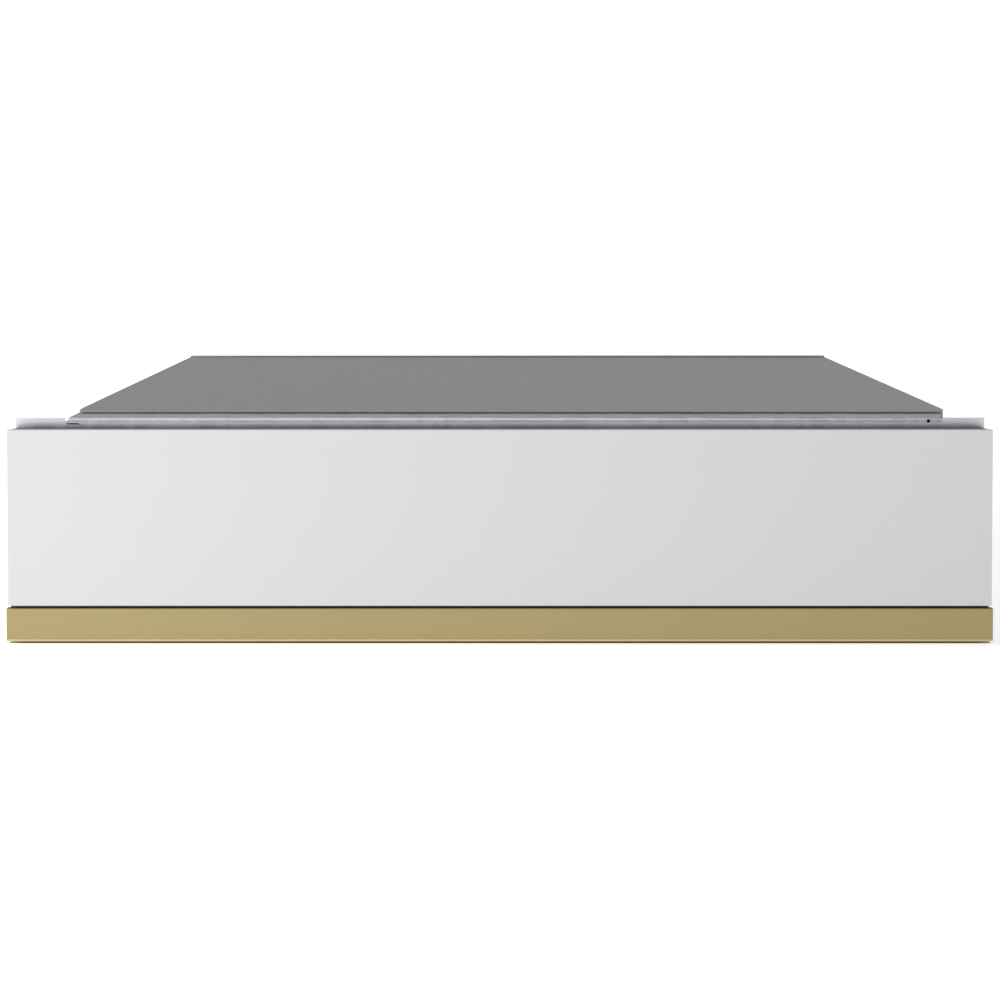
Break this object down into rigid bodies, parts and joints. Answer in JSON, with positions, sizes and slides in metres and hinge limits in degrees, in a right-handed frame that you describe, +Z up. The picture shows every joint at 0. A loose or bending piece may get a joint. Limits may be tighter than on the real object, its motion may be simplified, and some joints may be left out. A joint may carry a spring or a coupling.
{
  "type": "built-in storage drawer",
  "caption": "Low, wide built-in drawer with a white glass front, a gold trim strip, push-to-open latch and full-extension ball slides in a steel housing.",
  "frame": {"origin": "middle of the front's width and of the unit's depth, at the underside of the glides", "axes": "+X to the right, +Y to the rear so the front faces -Y, +Z up"},
  "size_m": [0.595, 0.545, 0.1381],
  "materials": {
    "white_glass": "back-painted white glass, satin gloss",
    "gold_trim": "polished, gold tone",
    "cover": "fine satin sheet",
    "galvanised": "zinc-coated sheet",
    "carrier_paint": "dark grey paint",
    "tray_steel": "brushed stainless sheet",
    "zinc_rail": "bright zinc",
    "zinc_screw": "bright zinc",
    "cage_steel": "rolled strip",
    "ball_steel": "polished",
    "spring_steel": "drawn wire",
    "magnet": "nickel",
    "latch_plastic": "fine grained",
    "plunger_plastic": "smooth",
    "clip_plastic": "smooth",
    "glide": "smooth",
    "mat": "fine ribbed",
    "glue": "cured bead"
  },
  "bodies": {
    "chassis": {"base_pan": "galvanised", "base_glides": "glide", "right_side_wall": "galvanised", "left_side_wall": "galvanised", "rear_wall": "galvanised", "front_frame": "galvanised", "frame_ledge": "galvanised", "frame_foot": "galvanised", "top_cover": "cover", "cover_folds": "cover", "cover_screws": "zinc_screw", "right_outer_rail": "zinc_rail", "left_outer_rail": "zinc_rail", "outer_rail_screws": "zinc_screw", "latch_housing": "latch_plastic", "latch_spring": "spring_steel", "latch_bracket": "galvanised", "latch_screws": "zinc_screw"},
    "plunger": {"latch_plunger": "plunger_plastic", "latch_magnet": "magnet"},
    "drawer": {"tray": "tray_steel", "anti_slip_mat": "mat", "right_inner_rail": "zinc_rail", "left_inner_rail": "zinc_rail", "inner_rail_screws": "zinc_screw", "front_carrier": "carrier_paint", "carrier_edge": "carrier_paint", "carrier_rim": "carrier_paint", "front_screws": "zinc_screw", "glue_beads": "glue", "glass_panel": "white_glass", "trim_bar": "gold_trim", "trim_clips": "clip_plastic", "striker_plate": "zinc_rail"},
    "right_middle": {"right_middle_rail": "zinc_rail"},
    "left_middle": {"left_middle_rail": "zinc_rail"},
    "right_outer_bearing": {"right_outer_cage": "cage_steel", "right_outer_balls": "ball_steel"},
    "right_inner_bearing": {"right_inner_cage": "cage_steel", "right_inner_balls": "ball_steel"},
    "left_outer_bearing": {"left_outer_cage": "cage_steel", "left_outer_balls": "ball_steel"},
    "left_inner_bearing": {"left_inner_cage": "cage_steel", "left_inner_balls": "ball_steel"}
  },
  "joints": [
    {"name": "push_release", "type": "slide", "parent": "chassis", "child": "plunger", "axis": [0, -1, 0], "range_m": [-0.003, 0.012], "deforming": ["latch_spring"]},
    {"name": "drawer_slide", "type": "slide", "parent": "plunger", "child": "drawer", "axis": [0, -1, 0], "range_m": [0, 0.42]},
    {"name": "right_middle_slide", "type": "slide", "parent": "chassis", "child": "right_middle", "axis": [0, -1, 0], "range_m": [0, 0.21]},
    {"name": "right_outer_bearing_slide", "type": "slide", "parent": "chassis", "child": "right_outer_bearing", "axis": [0, -1, 0], "range_m": [0, 0.105]},
    {"name": "right_inner_bearing_slide", "type": "slide", "parent": "chassis", "child": "right_inner_bearing", "axis": [0, -1, 0], "range_m": [0, 0.315]},
    {"name": "left_middle_slide", "type": "slide", "parent": "chassis", "child": "left_middle", "axis": [0, -1, 0], "range_m": [0, 0.21]},
    {"name": "left_outer_bearing_slide", "type": "slide", "parent": "chassis", "child": "left_outer_bearing", "axis": [0, -1, 0], "range_m": [0, 0.105]},
    {"name": "left_inner_bearing_slide", "type": "slide", "parent": "chassis", "child": "left_inner_bearing", "axis": [0, -1, 0], "range_m": [0, 0.315]}
  ],
  "couplings": [
    {"joint": "right_middle_slide", "follows": "drawer_slide", "ratio": 0.5},
    {"joint": "right_outer_bearing_slide", "follows": "drawer_slide", "ratio": 0.25},
    {"joint": "right_inner_bearing_slide", "follows": "drawer_slide", "ratio": 0.75},
    {"joint": "left_middle_slide", "follows": "drawer_slide", "ratio": 0.5},
    {"joint": "left_outer_bearing_slide", "follows": "drawer_slide", "ratio": 0.25},
    {"joint": "left_inner_bearing_slide", "follows": "drawer_slide", "ratio": 0.75}
  ]
}
